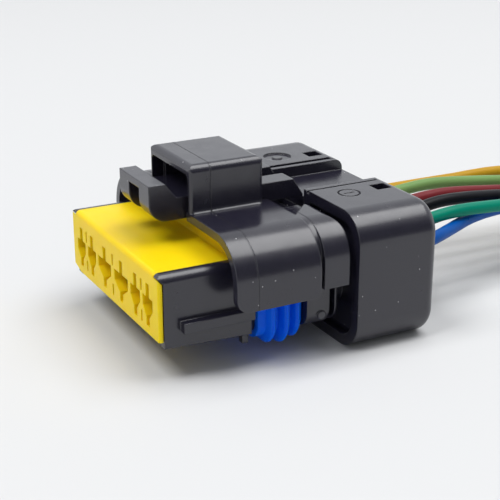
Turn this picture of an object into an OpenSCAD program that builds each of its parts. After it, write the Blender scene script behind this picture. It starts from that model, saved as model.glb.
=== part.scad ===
// Sealed six-way plug connector with a pigtail of six leads.
// X runs across the row of terminals, Y from the mating face to the leads, Z up from the bench.
// The outlines below are drawn from the front of the block (y = 0) and its underside (z = 0);
// placed() then moves the part so that its origin is at the middle of its footprint.

/* [Terminal block] */
// Width of the terminal block over its side walls
block_w = 31.2; // [30.2:0.2:34]
// Height of the terminal block
block_h = 10; // [9.5:0.25:11]
// Thickness of the block's side walls
block_wall = 1.5; // [1.2:0.1:1.8]
// Length of the block that stands out in front of the hood
nose_len = 8.1; // [7.5:0.1:9.7]
// Distance between the two middle cavities
pitch_middle = 6; // [5.8:0.1:6.4]
// Distance from a middle cavity to the next one
pitch_inner = 4.9; // [4.8:0.1:5.2]
// Distance from that cavity to the outermost one
pitch_outer = 4.1; // [4:0.1:4.4]
// Height of the terminals' axis above the block's underside
axis_h = 5.35; // [5.1:0.05:5.6]
// Height of the guide rail on each side of the block
rail_h = 1.4; // [1:0.1:1.8]
// How far the guide rail stands out
rail_proud = 1.15; // [0.8:0.05:1.5]

/* [Front holder] */
// Thickness of the holder's front plate
plate_t = 2.4; // [2:0.1:3]
// How far the front plate stands out of the block
plate_proud = 0.7; // [0.5:0.05:1]
// Thickness of the holder's top sheet
sheet_t = 1; // [0.8:0.05:1.3]
// Height of the lip at the rear of the top sheet
lip_h = 2; // [1.4:0.1:2.1]
// Thickness of that lip
lip_t = 1.2; // [0.8:0.1:1.6]
// Sliding clearance of the holder in the block
holder_gap = 0.1; // [0.05:0.01:0.15]
// Width of a blade opening in the middle of the row
blade_w_middle = 4.8; // [4.3:0.1:5]
// Width of a blade opening at the ends of the row
blade_w_end = 3.2; // [2.9:0.1:3.4]
// Height of a blade opening above its tapered part
blade_h = 1.6; // [1.4:0.1:1.9]
// Width of the upright slot across each blade opening
key_w = 1.05; // [0.8:0.05:1.2]
// Height of that slot
key_h = 5.95; // [5.4:0.05:6.2]

/* [Hood and tower] */
// Room between the block and the hood's top for the mating shell
socket_gap = 2.95; // [2.85:0.05:3.4]
// Wall thickness of the hood
hood_wall = 1.2; // [1:0.05:1.5]
// Length of the hood
hood_len = 12.3; // [11.8:0.1:14]
// Outer radius of the hood's upper corners
hood_r = 6; // [5:0.25:7]
// Height of the hood's lower edge above the block's underside
skirt_z = 4.85; // [4.5:0.05:5.4]
// Width of the tower over the latch
tower_w = 13.1; // [12.9:0.1:14]
// Height of the tower above the hood
tower_h = 6.6; // [6.4:0.1:8]
// Length of the tower
tower_len = 11; // [10:0.1:12]
// Thickness of the tower's roof
roof_t = 1.35; // [1:0.05:1.5]
// Length of the collar behind the hood
collar_len = 4.7; // [4.5:0.1:6]

/* [Latch lever] */
// Width of the lever
lever_w = 10; // [9:0.1:10.2]
// Gap on each side of the lever in its tunnel
lever_gap = 0.35; // [0.3:0.01:0.4]
// Reach of the lever's head in front of the tower
head_reach = 5.25; // [4.5:0.05:6]
// Height of the lever's head
head_h = 5.1; // [4.8:0.1:5.4]
// Height of the lever's arm
arm_h = 2.25; // [2:0.05:2.5]
// Diameter of the lever's pivot pins
pin_d = 1.8; // [1.5:0.05:1.9]
// Running clearance round a pivot pin
pin_gap = 0.05; // [0.02:0.01:0.08]
// Width of the catch window in the head
window_w = 3.5; // [3:0.1:4]

/* [Seals] */
// Length of the peripheral seal
seal_len = 6.6; // [6:0.1:7.2]
// Thickness of the peripheral seal under its lips
seal_base = 0.9; // [0.7:0.05:1.1]
// Height of the peripheral seal's lips
seal_lip = 1.4; // [1:0.05:1.45]
// Number of lips on the peripheral seal
seal_lips = 3; // [2:1:4]
// Bore for a wire seal in the middle of the row
bore_middle = 4.3; // [4.1:0.05:4.4]
// Bore for a wire seal at the ends of the row
bore_end = 3.3; // [3.2:0.05:3.4]
// Length of a wire seal
wire_seal_len = 6.5; // [5.5:0.1:7]

/* [Rear cap] */
// How far the cap reaches below the block's underside
cap_drop = 4.75; // [4.6:0.05:5.6]
// How far the cap's ears stand above the hood
cap_rise = 0.6; // [0.4:0.05:1]
// Gap between the collar and the cap
cap_gap = 1.2; // [0.8:0.1:1.5]
// Length of the cap
cap_len = 12.8; // [12.5:0.1:14.5]
// Wall thickness of the cap
cap_wall = 1.6; // [1.4:0.05:1.8]
// Corner radius of the cap
cap_r = 4.4; // [4:0.1:5]
// Radius of the cap's rear edges
cap_edge_r = 1.5; // [1:0.1:1.55]
// Width of the channel between the cap's ears
channel_w = 10.4; // [10.3:0.1:11.5]
// Depth of that channel
channel_depth = 1.75; // [1.4:0.05:1.9]
// Size of the square window in each ear
ear_window = 2.4; // [2.1:0.1:2.6]

/* [Leads] */
// Diameter of a lead over its insulation
wire_d = 1.9; // [1.7:0.05:2.1]

/* [Hidden] */
$fn = 64;
// Overlap that keeps unions and cuts clean
eps = 0.02;
// Large enough to cut through anything here
far = 60;

// Colours of the mouldings and leads
black_plastic = [0.08, 0.08, 0.09];
holder_yellow = [0.93, 0.77, 0.06];
seal_blue = [0.02, 0.18, 0.85];
tin = [0.75, 0.74, 0.70];
lead_colours = [
    [0.90, 0.72, 0.20], [0.55, 0.75, 0.38], [0.65, 0.18, 0.20],
    [0.10, 0.10, 0.11], [0.10, 0.55, 0.42], [0.12, 0.36, 0.80]
];

// Cavity places, from the first lead to the sixth
x_middle = pitch_middle / 2;
x_next = x_middle + pitch_inner;
x_outer = x_next + pitch_outer;
cavity_x = [-x_outer, -x_next, -x_middle, x_middle, x_next, x_outer];
function is_middle(i) = i == 2 || i == 3;
function blade_w(i) = is_middle(i) ? blade_w_middle : blade_w_end;
function seal_bore(i) = is_middle(i) ? bore_middle : bore_end;

// Terminal body and the clearance round it in its cavity
terminal_gap = 0.15;
terminal_h = 3.2;
terminal_setback = 0.8;
terminal_sheet = 0.3;
terminal_len = 8;
tongue_rise = 1;
crimp_gap = 0.03;
crimp_len = 2.6;
crimp_ahead = 7;
crimp_d = wire_d + 2 * (crimp_gap + terminal_sheet);
function terminal_w(i) = blade_w(i) - 0.9;

// Block, hood and cap outlines
block_half = block_w / 2;
core_half = block_half - block_wall;
side_room = 0.45;
hood_half = block_half + socket_gap + side_room + hood_wall;
hood_top = block_h + socket_gap + hood_wall;
hood_rear = nose_len + hood_len;
collar_rear = hood_rear + collar_len;
cap_front = collar_rear + cap_gap;
cap_rear = cap_front + cap_len;
cap_inset = 0.2;
cap_half = hood_half - cap_inset;
cap_top = hood_top + cap_rise;
mid_y = (cap_rear - plate_proud) / 2;

// Web that closes the hood's rear, the seal in front of it and the flange behind it
web_t = 0.45;
web_front = hood_rear - web_t;
seal_gap = 0.1;
seal_rear = web_front - seal_gap;
seal_front = seal_rear - seal_len;
seat_inset = 0.55;
seat_half = block_half - seat_inset;
seat_low = -0.75;
seat_r = 1.35;
seal_band = 1;
rear_lip_less = 0.45;
front_lip_less = 0.3;
block_end = seal_front - 0.7;
flange_r = 2.5;
flange_half = seat_half + seal_base + seal_lip;
flange_low = -0.8;
flange_top = block_h + 1.2;
flange_rear = hood_rear + 3.05;
fin_gap = 0.9;
fin_t = 0.35;
fin_inset = 0.2;

// Collar cheeks and the well between them
collar_inset = 0.7;
collar_half = hood_half - collar_inset;
collar_wall = 1.6;
collar_low = skirt_z + 0.7;
collar_edge_r = 1.5;
groove_len = 0.9;
groove_depth = 1.5;
groove_top = 0.04;
well_half = 13;
well_rear_half = 9.8;
well_slant = 3.2;
well_middle = 5.6;
well_floor = hood_top - groove_depth - 0.05;
skirt_front_r = 1.8;
skirt_rear_r = 0.9;

// Neck inside the cap and the sleeve that slides over it
neck_wall = 0.85;
neck_half = x_outer + bore_end / 2 + neck_wall;
neck_reach = 4.7;
neck_low = axis_h - neck_reach;
neck_top = axis_h + neck_reach;
neck_end = cap_rear - cap_wall - 0.3;
neck_r = 2;
sleeve_gap = 0.15;
sleeve_wall = 1.1;
sleeve_setback = 2.4;
stop_plate_setback = 0.9;
stop_plate_t = 1.2;
stop_plate_gap = 0.1;
bore_len = wire_seal_len + 1.5;
wire_seal_rear = neck_end - 0.3;
wire_seal_front = wire_seal_rear - wire_seal_len;
seal_fit = 0.02;

// Holder: plate between the walls, top sheet and lip
plate_back = plate_t - plate_proud;
plate_half = core_half - holder_gap;
plate_low = 0.9;
sheet_z = block_h - sheet_t;
lip_rear = seal_front - 1.7;
lip_front = lip_rear - lip_t;
front_round = 0.7;
side_cover = block_wall - 0.15;
side_cover_r = 0.3;
corner_rise = 0.75;
corner_run = 2.7;
blade_top = axis_h + 0.7;
blade_low = blade_top - blade_h;
taper_low = blade_low - 1.15;
taper_step = 0.1;
key_z = axis_h - 0.4;
slit_w = 0.5;
slit_h = 1.6;

// Guide rail on the block's sides and the nub under its rear end
rail_front = 2.3;
rail_rear = block_end - 0.05;
rail_low = 2.05;
nub_rear = rail_rear - 0.25;
nub_len = 0.85;
nub_h = 1.85;
nub_w = 1;
nub_inset = 0.5;

// Shoulders of the block's side walls, whose front ends reach over the holder's sides
shoulder_front = -plate_proud;
shoulder_top_r = 1.2;
shoulder_r = 0.7;
shoulder_end_z = block_h - 0.4;
shoulder_root_z = block_h - 1.1;

// Slope of the block's underside and the shallow recess in it
under_slope = 0.5;
recess_z = 0.25;
recess_rear = block_end - 1.6;

// Lance room above and below each cavity
lance_wall = 0.85;
lance_low = 0.9;
lance_inset = 0.1;
lance_end = web_front - 1.2;

// Latch lever and its tunnel through the tower
tower_half = tower_w / 2;
tower_top = hood_top + tower_h;
tower_r = 1.1;
tower_front_r = 0.9;
tower_side_r = 0.5;
tower_fillet = 0.5;
mouth_r = 0.8;
tower_rear = nose_len + tower_len;
tunnel_half = lever_w / 2 + lever_gap;
tunnel_top = tower_top - roof_t;
tunnel_low = hood_top - hood_wall - 0.2;
mouth_half = tower_half - 0.65;
mouth_depth = 1.8;
lever_half = lever_w / 2;
pivot_y = nose_len + tower_len / 2;
pivot_z = hood_top + 1;
arm_low = pivot_z - 1.1;
arm_top = arm_low + arm_h;
head_low = hood_top - 0.95;
head_top = head_low + head_h;
head_front = nose_len - head_reach;
head_flat = 2.45;
head_r = 2.6;
head_slope = 1.55;
head_rear = nose_len + 1.6;
catch_roof = 1;
catch_depth = 2.75;
pad_rear = cap_front - 0.05;
pad_slope = 1.55;
pad_tip = 0.25;
pad_low = arm_low - 0.4;
pad_front = tower_rear + 1.5;
fork_half = 1.8;
pin_reach = 0.75;
pin_end_gap = 0.1;

// Cap details
channel_floor = cap_top - channel_depth;
channel_half = channel_w / 2;
ledge_w = 0.8;
ledge_drop = 0.1;
ear_groove_w = 0.7;
ear_groove_depth = 0.5;
ear_groove_end = 1.5;
slab_t = 1.75;
slab_setback = 0.9;
slab_half = channel_half + ledge_w + 0.8;
window_x = 9.4;
window_rear = cap_rear - cap_wall;
wedge_w = ear_window - 0.5;
wedge_len = ear_window - 0.6;
wedge_h = 2;
wire_hole_d = wire_d + 0.6;
hole_flare = 0.4;
mark_d = 3;
mark_depth = 0.1;
mark_x = 12.5;
dial_setback = 4.5;
dial_y = cap_front + dial_setback;
dial_x = [-10.6, 9.9];
dial_d = [4.3, 3.3];
dial_depth = 0.25;
dial_line = 0.3;
dial_hub_d = 1.6;
dial_hub_drop = 0.08;
rib_t = 1;

// Parting line of the front mould slide
parting_setback = 3;
parting_y = nose_len + parting_setback;
parting_w = 0.12;
parting_depth = 0.06;
parting_over = 1;

// Routes of the leads in the placed frame: one row of stations, and each lead's x and z there
lead_y = [4, 17.5, 20, 26, 32, 38, 46, 54, 62, 72, 82, 94, 112, 135];
lead_x = [
    [-12, -12, -12, -11.9, -11.8, -11.6, -11.2, -10.6, -10, -9.2, -8.4, -7.6, -6.8, -6.2],
    [-7.9, -7.9, -7.9, -7.7, -7.4, -7.2, -6.7, -6.2, -5.8, -5.2, -4.8, -4.4, -4, -3.7],
    [-3, -3, -3, -3, -3, -3, -3, -3, -2.8, -2.4, -2, -1.7, -1.4, -1.3],
    [3, 3, 3, 2.5, 2, 1.7, 1.3, 0.9, 0.7, 0.6, 0.6, 0.8, 1, 1.2],
    [7.9, 7.9, 7.9, 7.2, 7, 6.9, 6.3, 5.5, 4.6, 3.6, 3.1, 3.3, 3.5, 3.7],
    [12, 12, 12, 10.7, 7.7, 5.1, 3.4, 2.9, 3.4, 4.6, 5.6, 5.9, 6.1, 6.2]
];
lead_z = [
    [10.1, 10.1, 10.1, 10.4, 10.7, 10.8, 10.9, 11.1, 10.2, 8, 5.4, 3, 1.15, 1.02],
    [10.1, 10.1, 10.1, 11, 11.8, 12.2, 11.6, 10.7, 9.4, 7.2, 4.9, 2.7, 1.15, 1.02],
    [10.1, 10.1, 10.1, 10.9, 11.6, 11.8, 11, 10, 8.8, 6.8, 4.6, 2.5, 1.15, 1.02],
    [10.1, 10.1, 10.1, 11.5, 12.5, 12.4, 11.5, 10.2, 8.7, 6.6, 4.6, 2.5, 1.15, 1.02],
    [10.1, 10.1, 10.1, 11.9, 12.6, 12.4, 11.6, 10.4, 8.9, 6.8, 4.6, 2.5, 1.15, 1.02],
    [10.1, 10.1, 10.1, 10.6, 10.5, 10.5, 10.2, 8.7, 6.8, 4.8, 3.4, 1.9, 1.1, 1.02]
];
function lead_route(i) = [for (k = [0 : len(lead_y) - 1]) [lead_x[i][k], lead_y[k], lead_z[i][k]]];

// Moves the outlines' frame to the part's own frame
module placed() {
    translate([0, -mid_y, cap_drop]) children();
}

// Extrudes an outline drawn in (x, z) from y0 to y1
module along_y(y0, y1) {
    translate([0, y1, 0]) rotate([90, 0, 0]) linear_extrude(y1 - y0) children();
}

// Extrudes a profile drawn in (y, z) across the part, from x0 to x1
module along_x(x0, x1) {
    translate([x0, 0, 0]) rotate([90, 0, 90]) linear_extrude(x1 - x0) children();
}

// Box from two corners
module box(low, high) {
    translate(low) cube(high - low);
}

// Both the piece and its mirror image across the middle of the part
module both_sides() {
    children();
    mirror([1, 0, 0]) children();
}

// Outline in (x, z), round at its lower and upper corners
module panel(half, low, high, r_low, r_high) {
    intersection() {
        translate([-half, low]) square([2 * half, high - low]);
        union() {
            translate([-half, low + r_low]) square([2 * half, high - low - r_low - r_high]);
            corner_row(half, low + r_low, low, r_low);
            corner_row(half, high - r_high, high - r_high - eps, r_high);
        }
    }
}

// The row of two round corners and the strip between them at one end of a panel
module corner_row(half, centre_z, strip_z, r) {
    if (r > 0) {
        translate([r - half, strip_z]) square([2 * (half - r), r + eps]);
        for (s = [-1, 1]) translate([s * (half - r), centre_z]) circle(r);
    }
}

// Outline of the seal's seat, grown outwards by a margin
module seat_outline(margin) {
    panel(seat_half + margin, seat_low - margin, block_h - seat_inset + margin,
        seat_r + margin, seat_r + margin);
}

// Outline of the neck, grown outwards by a margin
module neck_outline(margin) {
    panel(neck_half + margin, neck_low - margin, neck_top + margin, neck_r + margin, neck_r + margin);
}

// Outline of the hood, moved inwards by a depth
module hood_outline(depth, low) {
    panel(hood_half - depth, low, hood_top - depth, 0, hood_r - depth);
}

// Terminal block: side walls with round shoulders, core, rails, keying nubs and the seal's seat
module block_body() {
    along_y(0, block_end) panel(block_half, 0, block_h, 0, shoulder_top_r);
    along_x(-block_half, block_half)
        polygon([[0, 1], [0, 0], [block_end, -under_slope], [block_end, 1]]);
    intersection() {
        along_y(shoulder_front, eps) panel(block_half, 0, block_h, 0, shoulder_top_r);
        along_x(-block_half, block_half) polygon([
            [shoulder_front, shoulder_end_z], [eps, shoulder_root_z],
            [eps, block_h], [shoulder_front, block_h]
        ]);
    }
    both_sides() {
        box([block_half - 1, rail_front, rail_low], [block_half + rail_proud, rail_rear, rail_low + rail_h]);
        box([block_half - nub_inset - nub_w, nub_rear - nub_len, -nub_h],
            [block_half - nub_inset, nub_rear, 1]);
    }
    along_y(block_end - eps, web_front + eps) seat_outline(0);
}

// Cut that rounds the front of the block's shoulders
module shoulder_round() {
    along_x(-far, far) difference() {
        translate([shoulder_front - 1, block_h - shoulder_r]) square(shoulder_r + 1);
        translate([shoulder_front + shoulder_r, block_h - shoulder_r]) circle(shoulder_r);
    }
}

// Hood shell, the web that closes it, the collar cheeks and the flange behind the seal
module hood_body() {
    difference() {
        along_y(nose_len, hood_rear) hood_outline(0, skirt_z);
        along_y(nose_len - 1, web_front) hood_outline(hood_wall, skirt_z - 1);
        both_sides() {
            skirt_corner(nose_len, 1, skirt_front_r);
            skirt_corner(hood_rear, -1, skirt_rear_r);
        }
    }
    along_y(web_front, flange_rear) panel(flange_half, flange_low, flange_top, flange_r, flange_r);
    difference() {
        union() {
            along_y(web_front, hood_rear + groove_len)
                panel(hood_half - groove_depth, collar_low, hood_top - groove_top, 0, hood_r - groove_depth);
            collar_shell();
            box([-well_half - 1, hood_rear - eps, flange_top - eps],
                [well_half + 1, flange_rear, well_floor + 0.5]);
        }
        translate([0, 0, well_floor]) linear_extrude(far) well_outline();
        box([-well_middle, hood_rear, flange_top], [well_middle, collar_rear + 1, far]);
    }
    both_sides() clip_nub();
}

// Collar behind the groove, open below, with its top rounded off at the rear
module collar_shell() {
    difference() {
        along_y(hood_rear + groove_len - eps, collar_rear)
            panel(collar_half, collar_low, hood_top, 0, hood_r - collar_inset);
        along_y(hood_rear, collar_rear + 1)
            panel(collar_half - collar_wall, collar_low - 1, hood_top - collar_wall, 0,
                hood_r - collar_inset - collar_wall);
        along_x(-far, far) difference() {
            translate([collar_rear - collar_edge_r, hood_top - collar_edge_r]) square(collar_edge_r + 1);
            translate([collar_rear - collar_edge_r, hood_top - collar_edge_r]) circle(collar_edge_r);
        }
    }
}

// Plan of the well between the collar cheeks, narrower at the rear
module well_outline() {
    slant_end = hood_rear + well_slant;
    polygon([
        [-well_half, hood_rear], [well_half, hood_rear], [well_rear_half, slant_end],
        [well_rear_half, collar_rear + 1], [-well_rear_half, collar_rear + 1], [-well_rear_half, slant_end]
    ]);
}

// Cut that rounds a lower corner of the hood's side; dir points from the edge into the hood
module skirt_corner(edge_y, dir, r) {
    along_x(hood_half - 2 * hood_wall, hood_half + 1) translate([edge_y, skirt_z]) scale([dir, 1])
        difference() {
            translate([-1, -1]) square(r + 1);
            translate([r, r]) circle(r);
        }
}

// Small snap wedge on the flange's side
module clip_nub() {
    nub_r = 0.6;
    translate([flange_half - 0.2, flange_rear - 1.3, flange_low + 1.8]) rotate([0, 90, 0])
        cylinder(r = nub_r, h = 0.45);
}

// Tower with its rounded edges and a fillet at its foot
module tower_body() {
    foot = hood_top - eps;
    intersection() {
        along_y(nose_len, tower_rear) panel(tower_half, foot, tower_top, 0, tower_r);
        along_x(-tower_half, tower_half) translate([nose_len + tower_len / 2, 0])
            panel(tower_len / 2, foot, tower_top, 0, tower_front_r);
        translate([0, nose_len, foot]) linear_extrude(tower_h + 1)
            panel(tower_half, 0, tower_len, tower_side_r, tower_side_r);
    }
    both_sides() along_y(nose_len + tower_side_r, tower_rear - tower_side_r) difference() {
        translate([tower_half - eps, foot]) square(tower_fillet + eps);
        translate([tower_half + tower_fillet, hood_top + tower_fillet]) circle(tower_fillet);
    }
}

// Neck behind the flange, its fin, the plate that stops the cap and the snap wedges that hold it
module neck_body() {
    along_y(flange_rear - eps, neck_end) neck_outline(0);
    along_y(flange_rear + fin_gap, flange_rear + fin_gap + fin_t)
        panel(flange_half - fin_inset, flange_low, flange_top - fin_inset, flange_r, flange_r);
    plate_front = cap_front + stop_plate_setback;
    along_y(plate_front, plate_front + stop_plate_t) difference() {
        panel(cap_half - cap_wall - stop_plate_gap, cap_wall - cap_drop + stop_plate_gap,
            cap_top - cap_wall - stop_plate_gap, cap_r - cap_wall, cap_r - cap_wall);
        translate([-slab_half - stop_plate_gap, channel_floor - slab_t - stop_plate_gap])
            square([2 * (slab_half + stop_plate_gap), far]);
    }
    for (s = [-1, 1]) translate([s * window_x, 0, 0]) along_x(-wedge_w / 2, wedge_w / 2)
        translate([window_rear - 0.4, neck_top - 0.2])
            polygon([[0, 0], [0, 0.4], [-wedge_len, wedge_h], [-wedge_len, 0]]);
}

// Room for the holder's plate, sheet and lip, and the recess in the block's underside
module holder_room() {
    box([-core_half, shoulder_front - 1, -1], [core_half, plate_back + holder_gap, block_h + 1]);
    box([-core_half, 0, sheet_z - holder_gap], [core_half, lip_rear + holder_gap, block_h + 1]);
    box([-core_half, 0, -far], [core_half, recess_rear, recess_z]);
}

// Cavity of one terminal and the bore of its wire seal
module cavity(i) {
    half = max(terminal_w(i), crimp_d) / 2 + terminal_gap;
    tall = terminal_h / 2 + terminal_gap;
    slot = half - lance_inset;
    box([cavity_x[i] - half, 0, axis_h - tall], [cavity_x[i] + half, neck_end - bore_len + 1, axis_h + tall]);
    box([cavity_x[i] - slot, 0, lance_low],
        [cavity_x[i] + slot, lance_end, sheet_z - holder_gap - lance_wall]);
    translate([cavity_x[i], neck_end - bore_len, axis_h]) rotate([-90, 0, 0])
        cylinder(d = seal_bore(i), h = bore_len + 1);
}

// Tunnel through the tower, its wider mouth and the sockets of the lever's pins
module tunnel() {
    box([-tunnel_half, nose_len - 1, tunnel_low], [tunnel_half, collar_rear + 1, tunnel_top]);
    along_y(nose_len - 1, nose_len + mouth_depth)
        panel(mouth_half, hood_top, tunnel_top, 0, mouth_r);
    translate([0, pivot_y, pivot_z]) rotate([0, 90, 0])
        cylinder(d = pin_d + 2 * pin_gap, h = 2 * (lever_half + pin_reach + pin_end_gap), center = true);
}

// Fine parting line round the hood and the tower
module parting_line() {
    along_y(parting_y, parting_y + parting_w) difference() {
        hood_outline(-parting_over, skirt_z - parting_over);
        hood_outline(parting_depth, skirt_z - 2 * parting_over);
        translate([-tower_half, hood_top - parting_over]) square([tower_w, 3 * parting_over]);
    }
    along_y(parting_y, parting_y + parting_w) difference() {
        panel(tower_half + parting_over, hood_top + parting_depth, tower_top + parting_over, 0, tower_r);
        panel(tower_half - parting_depth, hood_top - parting_over, tower_top - parting_depth, 0, tower_r);
    }
}

module main_housing() {
    color(black_plastic) placed() difference() {
        union() {
            block_body();
            hood_body();
            tower_body();
            neck_body();
        }
        holder_room();
        shoulder_round();
        for (i = [0 : 5]) cavity(i);
        tunnel();
        parting_line();
    }
}

// Cross-shaped opening for one blade, tapered below the blade
module blade_opening(i) {
    half = blade_w(i) / 2;
    foot = key_w / 2 + taper_step;
    translate([cavity_x[i], 0, 0]) {
        along_y(-far, far) polygon([
            [-half, blade_top], [half, blade_top], [half, blade_low],
            [foot, taper_low], [-foot, taper_low], [-half, blade_low]
        ]);
        box([-key_w / 2, -far, key_z - key_h / 2], [key_w / 2, far, key_z + key_h / 2]);
    }
}

// Side profile of the holder: plate, rounded front edge, sheet and lip
module holder_profile() {
    difference() {
        union() {
            translate([-plate_proud, plate_low]) square([plate_t, block_h - plate_low]);
            translate([-plate_proud, sheet_z]) square([lip_rear + plate_proud, sheet_t]);
            translate([lip_front, sheet_z]) square([lip_t, sheet_t + lip_h]);
        }
        difference() {
            translate([-plate_proud - 1, block_h - front_round]) square(front_round + 1);
            translate([front_round - plate_proud, block_h - front_round]) circle(front_round);
        }
    }
}

// Side of the front plate that covers the front of a block wall, cut to clear the shoulder's end
module side_cover() {
    outer = core_half + side_cover;
    difference() {
        along_x(plate_half - 1, outer) polygon([
            [-plate_proud, plate_low], [-holder_gap, plate_low],
            [-holder_gap, shoulder_root_z - holder_gap], [-plate_proud, shoulder_end_z - holder_gap]
        ]);
        translate([outer - side_cover_r, side_cover_r - plate_proud, 0]) difference() {
            translate([0, -1, -1]) cube([1, 1, far]);
            translate([0, 0, -2]) cylinder(r = side_cover_r, h = far + 2);
        }
    }
}

module front_holder() {
    color(holder_yellow) placed() difference() {
        union() {
            along_x(-plate_half, plate_half) holder_profile();
            both_sides() side_cover();
        }
        intersection() {
            for (i = [0 : 5]) blade_opening(i);
            box([-far, -plate_proud - 1, -1], [far, plate_back + 1, sheet_z]);
        }
        for (x = [-(x_next + x_outer) / 2, 0, (x_next + x_outer) / 2], s = [-1, 1])
            translate([x, 0, key_z + s * (key_h - slit_h) / 2])
                cube([slit_w, 2 * (plate_back + 1), slit_h], center = true);
        along_y(-far, far) translate([-core_half - side_cover, plate_low])
            polygon([[-1, -1], [-1, corner_rise], [0, corner_rise], [corner_run, 0], [corner_run, -1]]);
    }
}

// Side profile of the lever: window head, arm and press pad
module lever_profile() {
    difference() {
        polygon([
            [head_front, head_top], [head_front + head_flat, head_top],
            [head_front + head_flat + head_slope, arm_top], [pad_rear - pad_slope, arm_top],
            [pad_rear, pad_low + pad_tip], [pad_rear, pad_low], [pad_front, pad_low],
            [pad_front - 0.6, arm_low], [head_rear + 0.8, arm_low], [head_rear, head_low],
            [head_front, head_low]
        ]);
        difference() {
            translate([head_front - 1, head_low - 1]) square(head_r + 1);
            translate([head_front + head_r, head_low + head_r]) circle(head_r);
        }
    }
}

module latch_lever() {
    color(black_plastic) placed() difference() {
        union() {
            along_x(-lever_half, lever_half) lever_profile();
            translate([0, pivot_y, pivot_z]) rotate([0, 90, 0])
                cylinder(d = pin_d, h = 2 * (lever_half + pin_reach), center = true);
        }
        box([-window_w / 2, head_front - 1, head_low - 1],
            [window_w / 2, head_front + catch_depth, head_top - catch_roof]);
        box([-fork_half, tower_rear, pad_low - 1], [fork_half, pad_rear + 1, arm_top + 1]);
    }
}

// One lip of the peripheral seal, round-backed
module seal_ring_lip(y, pitch, height) {
    hull() {
        along_y(y + 0.1 * pitch, y + 0.9 * pitch) seat_outline(seal_base);
        along_y(y + 0.3 * pitch, y + 0.7 * pitch) seat_outline(seal_base + 0.75 * height);
        along_y(y + 0.45 * pitch, y + 0.55 * pitch) seat_outline(seal_base + height);
    }
}

// How much lower than the others a lip is, counted from the rear
function lip_less(k) = k == 0 ? rear_lip_less : k == seal_lips - 1 ? front_lip_less : 0;

// Ribbed seal: a plain band in front, full lips and lower ones at both ends
module peripheral_seal() {
    pitch = (seal_len - seal_band) / seal_lips;
    color(seal_blue) placed() difference() {
        union() {
            along_y(seal_front, seal_rear) seat_outline(seal_base);
            for (k = [0 : seal_lips - 1])
                seal_ring_lip(seal_rear - (k + 1) * pitch, pitch, seal_lip - lip_less(k), $fn = 32);
        }
        along_y(seal_front - 1, seal_rear + 1) seat_outline(seal_fit);
    }
}

// Half profile of the cap's long section, round at its rear end, drawn in (across, y)
module round_end(half) {
    translate([-half, cap_front]) square([2 * half, cap_len - cap_edge_r]);
    translate([cap_edge_r - half, cap_front]) square([2 * (half - cap_edge_r), cap_len]);
    for (s = [-1, 1]) translate([s * (half - cap_edge_r), cap_rear - cap_edge_r]) circle(cap_edge_r);
}

// Outer body of the cap: two crossed slabs and four turned corners, all round at the rear
module cap_outer() {
    centre_z = (cap_top - cap_drop) / 2;
    tall_half = (cap_top + cap_drop) / 2;
    corner_x = cap_half - cap_r;
    corner_z = tall_half - cap_r;
    translate([0, 0, centre_z - corner_z]) linear_extrude(2 * corner_z) round_end(cap_half);
    translate([corner_x, 0, centre_z]) rotate([0, -90, 0]) linear_extrude(2 * corner_x) round_end(tall_half);
    for (sx = [-1, 1], sz = [-1, 1]) translate([sx * corner_x, 0, centre_z + sz * corner_z])
        rotate([-90, 0, 0]) rotate_extrude() intersection() {
            round_end(cap_r);
            translate([0, cap_front - 1]) square([far, far]);
        }
}

// Space inside the cap round its sleeve, open to the front
module cap_hollow() {
    difference() {
        along_y(cap_front - 1, cap_rear - cap_wall)
            panel(cap_half - cap_wall, cap_wall - cap_drop, cap_top - cap_wall, cap_r - cap_wall,
                cap_r - cap_wall);
        box([-slab_half, cap_front - 2, channel_floor - slab_t], [slab_half, cap_rear, cap_top]);
        along_y(cap_front + sleeve_setback, cap_rear) neck_outline(sleeve_gap + sleeve_wall);
        for (s = [-1, 1]) {
            box([s * x_next - rib_t / 2, cap_front + sleeve_setback, -cap_drop],
                [s * x_next + rib_t / 2, cap_rear, axis_h]);
            box([s * cap_half - neck_half / 2, cap_front + sleeve_setback, axis_h - rib_t / 2],
                [s * cap_half + neck_half / 2, cap_rear, axis_h + rib_t / 2]);
        }
    }
}

// Sunk dial with a plain hub
module hub_dial(k) {
    translate([dial_x[k], dial_y, cap_top - dial_depth]) difference() {
        cylinder(d = dial_d[k], h = 1);
        translate([0, 0, -1]) cylinder(d = dial_hub_d, h = 1 + dial_depth - dial_hub_drop);
    }
}

// Ring dial with a plain pointer bar
module ring_dial(k) {
    r = dial_d[k] / 2;
    translate([dial_x[k], dial_y, cap_top - dial_depth]) {
        difference() {
            cylinder(r = r, h = 1);
            translate([0, 0, -1]) cylinder(r = r - dial_line, h = 3);
        }
        translate([-dial_line / 2, -r / 2, 0]) cube([dial_line, r, 1]);
    }
}

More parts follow.
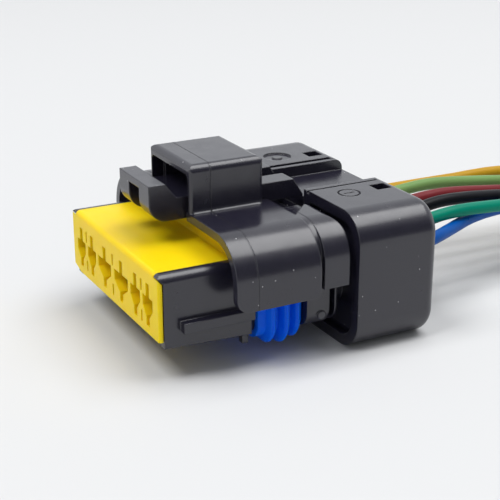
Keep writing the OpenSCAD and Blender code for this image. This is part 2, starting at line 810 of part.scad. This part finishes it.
module rear_cap() {
    color(black_plastic) placed() difference() {
        cap_outer();
        cap_hollow();
        along_y(cap_front - 1, cap_rear - cap_wall) neck_outline(sleeve_gap);
        box([-channel_half, cap_front - 1, channel_floor], [channel_half, cap_rear + 1, cap_top + 1]);
        box([-channel_half - ledge_w, cap_front - 1, cap_top - ledge_drop],
            [channel_half + ledge_w, cap_rear + 1, cap_top + 1]);
        box([-channel_half, cap_front - 1, channel_floor - slab_t - 1],
            [channel_half, cap_front + slab_setback, cap_top + 1]);
        both_sides() box([channel_half + ledge_w, cap_front - 1, cap_top - ear_groove_depth],
            [channel_half + ledge_w + ear_groove_w, cap_rear - ear_groove_end, cap_top + 1]);
        for (s = [-1, 1]) box([s * window_x - ear_window / 2, window_rear - ear_window, neck_top - 1],
            [s * window_x + ear_window / 2, window_rear, cap_top + 1]);
        for (x = cavity_x) translate([x, cap_rear, axis_h]) rotate([-90, 0, 0]) {
            translate([0, 0, -cap_wall - 1]) cylinder(d = wire_hole_d, h = cap_wall + 2);
            translate([0, 0, -hole_flare])
                cylinder(d1 = wire_hole_d, d2 = wire_hole_d + 4 * hole_flare, h = 2 * hole_flare);
        }
        for (s = [-1, 1]) translate([s * mark_x, dial_y, -cap_drop - 1])
            cylinder(d = mark_d, h = 1 + mark_depth);
        hub_dial(0);
        ring_dial(1);
    }
}

// Half section of a wire seal with three lips, drawn as (radius, length)
module wire_seal_section(bore) {
    r_in = wire_d / 2 + seal_fit;
    r_lip = bore / 2 - seal_fit;
    r_body = r_lip - 0.25;
    lip_pitch = wire_seal_len / 3;
    lip_r = 0.45;
    translate([r_in, 0]) square([r_body - r_in, wire_seal_len]);
    for (k = [0 : 2]) translate([r_lip - lip_r, (k + 0.5) * lip_pitch]) circle(lip_r);
}

module wire_seal(i) {
    color(seal_blue) placed() translate([cavity_x[i], wire_seal_front, axis_h]) rotate([-90, 0, 0])
        rotate_extrude() intersection() {
            wire_seal_section(seal_bore(i));
            translate([wire_d / 2 + seal_fit, 0]) square([far, wire_seal_len]);
        }
}

// Stamped female terminal: box with a spring tongue, open neck and two crimp barrels
module terminal(i) {
    sheet = terminal_sheet;
    w = terminal_w(i);
    front = plate_back + terminal_setback;
    box_end = front + terminal_len;
    crimp_front = neck_end - bore_len - crimp_ahead;
    tongue_end = terminal_len - 0.4;
    tongue_mid = 0.45 * terminal_len;
    color(tin) placed() translate([cavity_x[i], 0, axis_h]) {
        difference() {
            box([-w / 2, front, -terminal_h / 2], [w / 2, box_end, terminal_h / 2]);
            box([sheet - w / 2, front - 1, sheet - terminal_h / 2],
                [w / 2 - sheet, box_end + 1, terminal_h / 2 - sheet]);
        }
        along_x(-w / 2 + 2 * sheet, w / 2 - 2 * sheet) translate([front, sheet - terminal_h / 2 - eps])
            polygon([
                [1, 0.6 * tongue_rise], [tongue_mid, tongue_rise], [tongue_end - 0.6, 0], [tongue_end, 0],
                [tongue_end, 0.2], [tongue_mid, tongue_rise + sheet], [1, 0.6 * tongue_rise + sheet]
            ]);
        box([-wire_d / 2, box_end - 0.5, -wire_d / 2 - crimp_gap - sheet],
            [wire_d / 2, crimp_front + 0.5, -wire_d / 2 - crimp_gap]);
        translate([0, crimp_front, 0]) rotate([-90, 0, 0]) difference() {
            cylinder(d = crimp_d, h = crimp_len);
            translate([0, 0, -1]) cylinder(d = wire_d + 2 * crimp_gap, h = crimp_len + 2);
        }
    }
}

// Tube swept along a lead's route
function unit(v) = v / norm(v);
function heading(p, k) = unit(p[min(k + 1, len(p) - 1)] - p[max(k - 1, 0)]);
function ring(p, k, r, sides) =
    let (d = heading(p, k), side = unit(cross(d, [0, 0, 1])), up = cross(side, d))
    [for (j = [0 : sides - 1]) p[k] + r * (cos(360 * j / sides) * side + sin(360 * j / sides) * up)];

module tube(p, d) {
    sides = 8;
    count = len(p);
    points = [for (k = [0 : count - 1]) each ring(p, k, d / 2, sides)];
    walls = [for (k = [0 : count - 2], j = [0 : sides - 1])
        [k * sides + j, k * sides + (j + 1) % sides, (k + 1) * sides + (j + 1) % sides, (k + 1) * sides + j]];
    start = [for (j = [0 : sides - 1]) sides - 1 - j];
    end = [for (j = [0 : sides - 1]) (count - 1) * sides + j];
    polyhedron(points, concat(walls, [start, end]));
}

module wire(i) {
    color(lead_colours[i]) tube(lead_route(i), wire_d);
}

// One module per numbered piece
module wire_seal_1() { wire_seal(0); }
module wire_seal_2() { wire_seal(1); }
module wire_seal_3() { wire_seal(2); }
module wire_seal_4() { wire_seal(3); }
module wire_seal_5() { wire_seal(4); }
module wire_seal_6() { wire_seal(5); }
module terminal_1() { terminal(0); }
module terminal_2() { terminal(1); }
module terminal_3() { terminal(2); }
module terminal_4() { terminal(3); }
module terminal_5() { terminal(4); }
module terminal_6() { terminal(5); }
module wire_1() { wire(0); }
module wire_2() { wire(1); }
module wire_3() { wire(2); }
module wire_4() { wire(3); }
module wire_5() { wire(4); }
module wire_6() { wire(5); }

main_housing();
front_holder();
latch_lever();
peripheral_seal();
rear_cap();
wire_seal_1();
wire_seal_2();
wire_seal_3();
wire_seal_4();
wire_seal_5();
wire_seal_6();
terminal_1();
terminal_2();
terminal_3();
terminal_4();
terminal_5();
terminal_6();
wire_1();
wire_2();
wire_3();
wire_4();
wire_5();
wire_6();
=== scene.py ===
"""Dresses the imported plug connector: materials, leads, studio and camera. All sizes are in metres."""
import math

import bpy
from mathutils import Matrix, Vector


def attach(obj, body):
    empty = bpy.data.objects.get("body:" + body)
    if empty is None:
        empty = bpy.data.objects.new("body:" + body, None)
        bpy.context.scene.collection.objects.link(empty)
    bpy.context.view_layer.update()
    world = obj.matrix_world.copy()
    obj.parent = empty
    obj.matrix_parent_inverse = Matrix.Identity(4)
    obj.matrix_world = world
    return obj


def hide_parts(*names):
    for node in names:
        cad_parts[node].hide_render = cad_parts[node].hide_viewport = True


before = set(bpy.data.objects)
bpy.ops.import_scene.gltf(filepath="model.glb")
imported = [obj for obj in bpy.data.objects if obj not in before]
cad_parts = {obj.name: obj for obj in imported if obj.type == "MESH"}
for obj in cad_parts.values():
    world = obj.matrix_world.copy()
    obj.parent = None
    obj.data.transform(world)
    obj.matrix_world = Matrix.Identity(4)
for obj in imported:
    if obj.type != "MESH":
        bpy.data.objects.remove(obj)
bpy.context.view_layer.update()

MM = 0.001
BODY = "housing"

# Leads: routes as in the part's source, one row of stations and each lead's x and z there, in millimetres
WIRE_D = 1.9
LEAD_Y = [4, 17.5, 20, 26, 32, 38, 46, 54, 62, 72, 82, 94, 112, 135]
LEAD_X = [
    [-12, -12, -12, -11.9, -11.8, -11.6, -11.2, -10.6, -10, -9.2, -8.4, -7.6, -6.8, -6.2],
    [-7.9, -7.9, -7.9, -7.7, -7.4, -7.2, -6.7, -6.2, -5.8, -5.2, -4.8, -4.4, -4, -3.7],
    [-3, -3, -3, -3, -3, -3, -3, -3, -2.8, -2.4, -2, -1.7, -1.4, -1.3],
    [3, 3, 3, 2.5, 2, 1.7, 1.3, 0.9, 0.7, 0.6, 0.6, 0.8, 1, 1.2],
    [7.9, 7.9, 7.9, 7.2, 7, 6.9, 6.3, 5.5, 4.6, 3.6, 3.1, 3.3, 3.5, 3.7],
    [12, 12, 12, 10.7, 7.7, 5.1, 3.4, 2.9, 3.4, 4.6, 5.6, 5.9, 6.1, 6.2],
]
LEAD_Z = [
    [10.1, 10.1, 10.1, 10.4, 10.7, 10.8, 10.9, 11.1, 10.2, 8, 5.4, 3, 1.15, 1.02],
    [10.1, 10.1, 10.1, 11, 11.8, 12.2, 11.6, 10.7, 9.4, 7.2, 4.9, 2.7, 1.15, 1.02],
    [10.1, 10.1, 10.1, 10.9, 11.6, 11.8, 11, 10, 8.8, 6.8, 4.6, 2.5, 1.15, 1.02],
    [10.1, 10.1, 10.1, 11.5, 12.5, 12.4, 11.5, 10.2, 8.7, 6.6, 4.6, 2.5, 1.15, 1.02],
    [10.1, 10.1, 10.1, 11.9, 12.6, 12.4, 11.6, 10.4, 8.9, 6.8, 4.6, 2.5, 1.15, 1.02],
    [10.1, 10.1, 10.1, 10.6, 10.5, 10.5, 10.2, 8.7, 6.8, 4.8, 3.4, 1.9, 1.1, 1.02],
]
# Name, record slot and insulation colour of each lead
LEADS = [
    ("yellow", "lead_yellow", (0.56, 0.31, 0.018)),
    ("light_green", "lead_light_green", (0.20, 0.355, 0.115)),
    ("red", "lead_red", (0.20, 0.024, 0.030)),
    ("black", "lead_black", (0.008, 0.008, 0.011)),
    ("teal", "lead_teal", (0.0, 0.235, 0.150)),
    ("blue", "lead_blue", (0.0, 0.082, 0.37)),
]
# The station where a lead leaves the cap; it is straight before that
EXIT_STATION = 2
# Shares of the nearer and the farther stations in the middle of a smooth stretch
NEAR_SHARE = 9 / 16
FAR_SHARE = 1 / 16
# Insulation: its darker clouds, and its edge colour, a painted highlight that also stands for wear, as a
# share of the colour plus a pale tint
CLOUD_SHARE = 0.82
HIGHLIGHT_AND_WEAR_SHARE = 0.7
HIGHLIGHT_AND_WEAR_TINT = 0.1

# Stripped ends: a ring of strands twisted round a straight one, starting a little inside the insulation
STRIPPED = 5 * MM
STRAND_D = 0.36 * MM
STRAND_RING = 6
STRAND_TWIST = math.radians(200)
STRAND_STEPS = 10
STRAND_INSIDE = 0.5 * MM

# Smoothness of the curves: steps between two points of a route, and roundness of the sections
CURVE_STEPS = 8
LEAD_ROUNDNESS = 6
STRAND_ROUNDNESS = 3

# Surface of every moulding: scales in cells per metre, and the range that noise mostly keeps to
NOISE_LOW = 0.25
NOISE_HIGH = 0.75
NOISE_DETAIL = 3
CLOUD_SCALE = 180
GLOSS_SCALE = 420
GLOSS_DETAIL = 5
GRAIN_DETAIL = 2
GRAIN_STRENGTH = 0.5
# Patches of the lighter edge colour, a painted highlight that also stands for wear: their scale and
# greatest share
HIGHLIGHT_AND_WEAR_SCALE = 900
HIGHLIGHT_AND_WEAR_MOST = 0.5
EDGE_SAMPLES = 6
# Cosine between the softened and the true normal on a full edge and on a flat
EDGE_COSINE = 0.80
FLAT_COSINE = 0.99

# Dust: cells per metre, a speck's size and solid core in a cell, and the share of cells that hold one
DUST_SCALE = 850
DUST_SIZE = 0.085
DUST_CORE = 0.6
DUST_SHARE = 0.20
DUST_MARGIN = 0.01
DUST_COLOUR = (0.62, 0.62, 0.63)
DUST_STRENGTH = 0.8

# Camera
CAMERA_AT = Vector((0.1430, -0.0743, 0.0702))
CAMERA_AZIMUTH = math.radians(62.13)
CAMERA_ELEVATION = math.radians(20.55)
CAMERA_LENS = 86.1
CAMERA_SENSOR = 36.0
CAMERA_CLIP = 0.01

# Floor: just under the part; far from it, it fades to the colour that it has near it
FLOOR_COLOUR = (0.702, 0.706, 0.713)
FLOOR_ROUGHNESS = 0.9
FLOOR_SPECULAR = 0.1
FLOOR_DROP = 0.02 * MM
FLOOR_SIZE = 6.0
FLOOR_SEEN = (0.858, 0.862, 0.868)
FLOOR_FADE_START = 0.25
FLOOR_FADE_END = 0.90

# Surroundings: their strength in reflections, to the camera and as light
WORLD_COLOUR = (0.95, 0.975, 1.0)
WORLD_MIRRORED = 1.0
WORLD_SEEN = 0.89
WORLD_LIGHT = 0.29
# The side of the room that is dark in reflections: where it is, where it starts and ends, and its strength
ROOM_SIDE = (0.88, 0.32, 0.05)
ROOM_START = 0.55
ROOM_END = 0.82
ROOM_DARK = 0.16

# Softboxes
KEY_AT = (0.12, 0.42, 1.2)
KEY_AIM = (0, 0, 0)
KEY_SIZE = 0.95
KEY_POWER = 11.4
FILL_AT = (0.0, -0.66, 1.28)
FILL_AIM = (0, 0, 0.01)
FILL_SIZE = 0.60
FILL_POWER = 10.0


def add_node(tree, kind, **inputs):
    """A shader node with some of its inputs set."""
    made = tree.nodes.new(kind)
    for name, value in inputs.items():
        made.inputs[name.replace("_", " ")].default_value = value
    return made


def noise(tree, where, scale, detail=NOISE_DETAIL):
    """Noise in the part's own coordinates."""
    made = add_node(tree, "ShaderNodeTexNoise", Scale=scale, Detail=detail)
    tree.links.new(where, made.inputs["Vector"])
    return made.outputs["Fac"]


def ranged(tree, value, low, high, start=NOISE_LOW, end=NOISE_HIGH):
    """A value between start and end spread from low to high."""
    made = add_node(tree, "ShaderNodeMapRange", From_Min=start, From_Max=end, To_Min=low, To_Max=high)
    tree.links.new(value, made.inputs["Value"])
    return made.outputs["Result"]


def combined(tree, operation, first, second):
    """Two values joined by an operation such as MULTIPLY."""
    made = tree.nodes.new("ShaderNodeMath")
    made.operation = operation
    tree.links.new(first, made.inputs[0])
    tree.links.new(second, made.inputs[1])
    return made.outputs[0]


def mixed(tree, value, first, second):
    """A colour between two colours or sockets, chosen by a value from 0 to 1."""
    made = tree.nodes.new("ShaderNodeMix")
    made.data_type = "RGBA"
    for socket, source in ((made.inputs["A"], first), (made.inputs["B"], second)):
        if isinstance(source, tuple):
            socket.default_value = (*source, 1)
        else:
            tree.links.new(source, socket)
    tree.links.new(value, made.inputs["Factor"])
    return made.outputs["Result"]


def bump(tree, height, depth, normal):
    """A bump of the given depth, on top of an earlier normal."""
    made = add_node(tree, "ShaderNodeBump", Strength=GRAIN_STRENGTH, Distance=depth)
    tree.links.new(height, made.inputs["Height"])
    tree.links.new(normal, made.inputs["Normal"])
    return made.outputs["Normal"]


def rounded_edges(tree, radius):
    """The normal that a small edge radius gives."""
    made = add_node(tree, "ShaderNodeBevel", Radius=radius)
    made.samples = EDGE_SAMPLES
    return made.outputs["Normal"]


def edge_mask(tree, normal):
    """1 on the rounded edges and 0 on the flats."""
    made = tree.nodes.new("ShaderNodeVectorMath")
    made.operation = "DOT_PRODUCT"
    tree.links.new(normal, made.inputs[0])
    tree.links.new(tree.nodes.new("ShaderNodeNewGeometry").outputs["True Normal"], made.inputs[1])
    return ranged(tree, made.outputs["Value"], 1.0, 0.0, EDGE_COSINE, FLAT_COSINE)


def specks(tree, where):
    """Sparse dust specks: 1 in a speck and 0 elsewhere."""
    made = add_node(tree, "ShaderNodeTexVoronoi", Scale=DUST_SCALE)
    tree.links.new(where, made.inputs["Vector"])
    near = ranged(tree, made.outputs["Distance"], 1.0, 0.0, DUST_SIZE * DUST_CORE, DUST_SIZE)
    split = tree.nodes.new("ShaderNodeSeparateColor")
    tree.links.new(made.outputs["Color"], split.inputs["Color"])
    held = ranged(tree, split.outputs["Red"], 1.0, 0.0, DUST_SHARE, DUST_SHARE + DUST_MARGIN)
    return combined(tree, "MULTIPLY", near, held)


def shader_of(material):
    """The main shader of a material."""
    return material.node_tree.nodes["Principled BSDF"]


def new_material(name):
    """A material with a main shader."""
    made = bpy.data.materials.new(name)
    made.use_nodes = True
    return made


def moulded(name, dark, light, rough, grain, grain_depth, edge, highlight_and_wear_colour, specular=0.5):
    """A moulded material: colour clouds, uneven gloss, fine grain, softened edges, and a lighter edge
    colour in patches that is a painted highlight and also stands for wear.
    """
    made = new_material(name)
    tree = made.node_tree
    shader = shader_of(made)
    shader.inputs["Specular IOR Level"].default_value = specular
    where = tree.nodes.new("ShaderNodeTexCoord").outputs["Object"]
    soft = rounded_edges(tree, edge)
    # Lighter colour on the edges in noisy patches: painted highlight, partly wear
    highlight_and_wear_patches = ranged(tree, noise(tree, where, HIGHLIGHT_AND_WEAR_SCALE), 0.0, HIGHLIGHT_AND_WEAR_MOST)
    edge_highlight_and_wear = combined(tree, "MULTIPLY", edge_mask(tree, soft), highlight_and_wear_patches)
    colour = mixed(tree, noise(tree, where, CLOUD_SCALE), dark, light)
    gloss = ranged(tree, noise(tree, where, GLOSS_SCALE, GLOSS_DETAIL), *rough)
    grained = bump(tree, noise(tree, where, grain, GRAIN_DETAIL), grain_depth, soft)
    tree.links.new(mixed(tree, edge_highlight_and_wear, colour, highlight_and_wear_colour), shader.inputs["Base Color"])
    tree.links.new(gloss, shader.inputs["Roughness"])
    tree.links.new(grained, shader.inputs["Normal"])
    return made


def add_dust(material):
    """Adds a few specks of dust to a moulded material."""
    tree = material.node_tree
    base = shader_of(material).inputs["Base Color"]
    where = tree.nodes.new("ShaderNodeTexCoord").outputs["Object"]
    mask = ranged(tree, specks(tree, where), 0.0, DUST_STRENGTH, 0.0, 1.0)
    clean = base.links[0].from_socket
    tree.links.new(mixed(tree, mask, clean, DUST_COLOUR), base)


def let_light_through(material, weight, radius, scale):
    """Lets some light through a pale or rubbery moulding."""
    shader = shader_of(material)
    shader.inputs["Subsurface Weight"].default_value = weight
    shader.inputs["Subsurface Radius"].default_value = radius
    shader.inputs["Subsurface Scale"].default_value = scale


def make_materials():
    """Every material of the connector, by name."""
    made = {
        # Each edge colour is lighter than its body colour: a painted highlight along the edges that also
        # stands for wear
        "black": moulded(
            "black_moulding", dark=(0.0088, 0.0080, 0.0155), light=(0.0138, 0.0128, 0.0230),
            rough=(0.18, 0.28), grain=5200, grain_depth=0.006 * MM,
            edge=0.24 * MM, highlight_and_wear_colour=(0.070, 0.070, 0.082), specular=0.72),
        "yellow": moulded(
            "yellow_moulding", dark=(0.90, 0.62, 0.003), light=(0.94, 0.67, 0.006),
            rough=(0.34, 0.46), grain=4200, grain_depth=0.007 * MM,
            edge=0.18 * MM, highlight_and_wear_colour=(0.92, 0.70, 0.06), specular=0.18),
        "blue": moulded(
            "seal_silicone", dark=(0.0, 0.105, 0.78), light=(0.0, 0.135, 0.88),
            rough=(0.30, 0.42), grain=3000, grain_depth=0.006 * MM,
            edge=0.10 * MM, highlight_and_wear_colour=(0.0, 0.20, 0.92), specular=0.12),
        "tin": moulded(
            "terminal_tin", dark=(0.55, 0.53, 0.50), light=(0.66, 0.64, 0.61),
            rough=(0.25, 0.40), grain=6000, grain_depth=0.004 * MM,
            edge=0.08 * MM, highlight_and_wear_colour=(0.75, 0.73, 0.70)),
        "copper": moulded(
            "strand_copper", dark=(0.60, 0.26, 0.12), light=(0.72, 0.34, 0.17),
            rough=(0.22, 0.34), grain=8000, grain_depth=0.002 * MM,
            edge=0.03 * MM, highlight_and_wear_colour=(0.80, 0.42, 0.22)),
    }
    add_dust(made["black"])
    let_light_through(made["yellow"], weight=0.40, radius=(1.0, 0.65, 0.05), scale=1.3 * MM)
    let_light_through(made["blue"], weight=0.35, radius=(0.05, 0.3, 1.0), scale=0.9 * MM)
    for metal in ("tin", "copper"):
        shader_of(made[metal]).inputs["Metallic"].default_value = 1.0
    return made


def insulation(name, colour):
    """The smooth insulation of one lead."""
    # The paler edge colour is a painted highlight that also stands for wear
    return moulded(
        "insulation_" + name, dark=tuple(CLOUD_SHARE * c for c in colour), light=colour,
        rough=(0.26, 0.40), grain=1500, grain_depth=0.008 * MM,
        edge=0.05 * MM, highlight_and_wear_colour=tuple(HIGHLIGHT_AND_WEAR_SHARE * c + HIGHLIGHT_AND_WEAR_TINT for c in colour), specular=0.11)


def dress(node_name, material):
    """Gives a CAD node one material all over."""
    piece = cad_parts[node_name]
    piece.data.materials.clear()
    piece.data.materials.append(material)


def lead_points(number):
    """The stations of one lead, in metres."""
    return [Vector((x, y, z)) * MM for x, y, z in zip(LEAD_X[number], LEAD_Y, LEAD_Z[number])]


def between(before, start, end, after):
    """The middle of a smooth stretch from start to end."""
    return NEAR_SHARE * (start + end) - FAR_SHARE * (before + after)


def lead_route(number):
    """The stations with a point more between each two, up to the stripped end, and the lead's tip."""
    stations = lead_points(number)
    final = len(stations) - 1
    route = [stations[0]]
    for place in range(final):
        start, end = stations[place], stations[place + 1]
        middle = (start + end) / 2
        if place >= EXIT_STATION:
            middle = between(stations[place - 1], start, end, stations[min(place + 2, final)])
        route += [middle, end]
    last = route[-1] - route[-2]
    route[-1] = route[-1] - last.normalized() * STRIPPED
    return route, stations[final]


def round_curve(name, routes, diameter, kind, roundness):
    """A curve object of round section along one or more routes."""
    curve = bpy.data.curves.new(name, "CURVE")
    curve.dimensions = "3D"
    curve.bevel_depth = diameter / 2
    curve.bevel_resolution = roundness
    curve.resolution_u = CURVE_STEPS
    curve.use_fill_caps = True
    for points in routes:
        spline = curve.splines.new(kind)
        knots = spline.bezier_points if kind == "BEZIER" else spline.points
        knots.add(len(points) - 1)
        for knot, point in zip(knots, points):
            if kind == "BEZIER":
                knot.co = point
                knot.handle_left_type = "AUTO"
                knot.handle_right_type = "AUTO"
            else:
                knot.co = (*point, 1)
    piece = bpy.data.objects.new(name, curve)
    bpy.context.collection.objects.link(piece)
    return piece


def make_strands(name, start, end, material):
    """The twisted strands that show where a lead is stripped."""
    along = (end - start).normalized()
    side = along.cross(Vector((0, 0, 1))).normalized()
    up = side.cross(along)
    inside = start - along * STRAND_INSIDE
    middle = [inside.lerp(end, step / STRAND_STEPS) for step in range(STRAND_STEPS + 1)]
    routes = [middle]
    for strand in range(STRAND_RING):
        route = []
        for step, point in enumerate(middle):
            turn = 2 * math.pi * strand / STRAND_RING + STRAND_TWIST * step / STRAND_STEPS
            offset = (math.cos(turn) * side + math.sin(turn) * up) * STRAND_D
            route.append(point + offset)
        routes.append(route)
    piece = round_curve("strands_" + name, routes, STRAND_D, "POLY", STRAND_ROUNDNESS)
    piece.data.materials.append(material)
    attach(piece, BODY)
    return piece


def make_lead(number, strand_material):
    """One insulated lead along its route, with its stripped end."""
    name, slot, colour = LEADS[number]
    route, tip = lead_route(number)
    piece = round_curve("lead_" + name, [route], WIRE_D * MM, "BEZIER", LEAD_ROUNDNESS)
    piece.data.materials.append(insulation(name, colour))
    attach(piece, BODY)
    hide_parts("wire_%d" % (number + 1))
    strands = make_strands(name, route[-1], tip, strand_material)


def fade_far_floor(tree, shader):
    """Keeps the floor pale far from the connector, where it is seen or mirrored."""
    away = tree.nodes.new("ShaderNodeVectorMath")
    away.operation = "LENGTH"
    tree.links.new(tree.nodes.new("ShaderNodeTexCoord").outputs["Object"], away.inputs[0])
    far = ranged(tree, away.outputs["Value"], 0.0, 1.0, FLOOR_FADE_START, FLOOR_FADE_END)
    far.node.interpolation_type = "SMOOTHSTEP"
    rays = tree.nodes.new("ShaderNodeLightPath")
    seen = rays.outputs["Is Camera Ray"]
    for name in ("Is Glossy Ray", "Is Transmission Ray"):
        seen = combined(tree, "MAXIMUM", seen, rays.outputs[name])
    pale = add_node(tree, "ShaderNodeEmission", Color=(*FLOOR_SEEN, 1), Strength=1.0)
    chosen = tree.nodes.new("ShaderNodeMixShader")
    tree.links.new(combined(tree, "MULTIPLY", far, seen), chosen.inputs[0])
    tree.links.new(shader.outputs[0], chosen.inputs[1])
    tree.links.new(pale.outputs[0], chosen.inputs[2])
    tree.links.new(chosen.outputs[0], tree.nodes["Material Output"].inputs["Surface"])


def make_floor():
    """A plain pale floor under the connector."""
    bpy.ops.mesh.primitive_plane_add(size=FLOOR_SIZE)
    floor = bpy.context.object
    floor.name = "floor"
    floor.location.z = -FLOOR_DROP
    made = new_material("floor")
    shader = shader_of(made)
    shader.inputs["Base Color"].default_value = (*FLOOR_COLOUR, 1)
    shader.inputs["Roughness"].default_value = FLOOR_ROUGHNESS
    shader.inputs["Specular IOR Level"].default_value = FLOOR_SPECULAR
    fade_far_floor(made.node_tree, shader)
    floor.data.materials.append(made)


def area_light(name, at, aim, size, power):
    """A square softbox."""
    lamp = bpy.data.lights.new(name, "AREA")
    lamp.shape = "SQUARE"
    lamp.size = size
    lamp.energy = power
    made = bpy.data.objects.new(name, lamp)
    made.location = at
    made.rotation_euler = (Vector(aim) - Vector(at)).to_track_quat("-Z", "Y").to_euler()
    bpy.context.collection.objects.link(made)


def make_world():
    """Pale surroundings, weaker as light; mirrored, they are white, and darker on the room's side."""
    world = bpy.data.worlds.new("studio")
    world.use_nodes = True
    tree = world.node_tree
    rays = tree.nodes.new("ShaderNodeLightPath")
    aside = tree.nodes.new("ShaderNodeVectorMath")
    aside.operation = "DOT_PRODUCT"
    aside.inputs[1].default_value = ROOM_SIDE
    tree.links.new(tree.nodes.new("ShaderNodeTexCoord").outputs["Generated"], aside.inputs[0])
    strength = ranged(tree, aside.outputs["Value"], WORLD_MIRRORED, ROOM_DARK, ROOM_START, ROOM_END)
    for name, value in (("Is Diffuse Ray", WORLD_LIGHT), ("Is Camera Ray", WORLD_SEEN)):
        chosen = tree.nodes.new("ShaderNodeMix")
        chosen.inputs["B"].default_value = value
        tree.links.new(strength, chosen.inputs["A"])
        tree.links.new(rays.outputs[name], chosen.inputs["Factor"])
        strength = chosen.outputs["Result"]
    back = tree.nodes["Background"]
    back.inputs["Color"].default_value = (*WORLD_COLOUR, 1)
    tree.links.new(strength, back.inputs["Strength"])
    bpy.context.scene.world = world


def make_camera():
    """The camera at the viewing angle of the picture."""
    camera = bpy.data.cameras.new("camera")
    camera.lens = CAMERA_LENS
    camera.sensor_width = CAMERA_SENSOR
    camera.clip_start = CAMERA_CLIP
    made = bpy.data.objects.new("camera", camera)
    made.location = CAMERA_AT
    ahead = Vector((-math.sin(CAMERA_AZIMUTH), math.cos(CAMERA_AZIMUTH), 0)) * math.cos(CAMERA_ELEVATION)
    ahead.z = -math.sin(CAMERA_ELEVATION)
    made.rotation_euler = ahead.to_track_quat("-Z", "Y").to_euler()
    bpy.context.collection.objects.link(made)
    bpy.context.scene.camera = made


make_camera()
materials = make_materials()
for number in range(len(LEADS)):
    make_lead(number, materials["copper"])
    dress("wire_seal_%d" % (number + 1), materials["blue"])
    dress("terminal_%d" % (number + 1), materials["tin"])
for node in ("main_housing", "latch_lever", "rear_cap"):
    dress(node, materials["black"])
dress("front_holder", materials["yellow"])
dress("peripheral_seal", materials["blue"])
make_floor()
make_world()
area_light("key", KEY_AT, KEY_AIM, KEY_SIZE, KEY_POWER)
area_light("fill", FILL_AT, FILL_AIM, FILL_SIZE, FILL_POWER)
bpy.context.scene.view_settings.view_transform = "Standard"
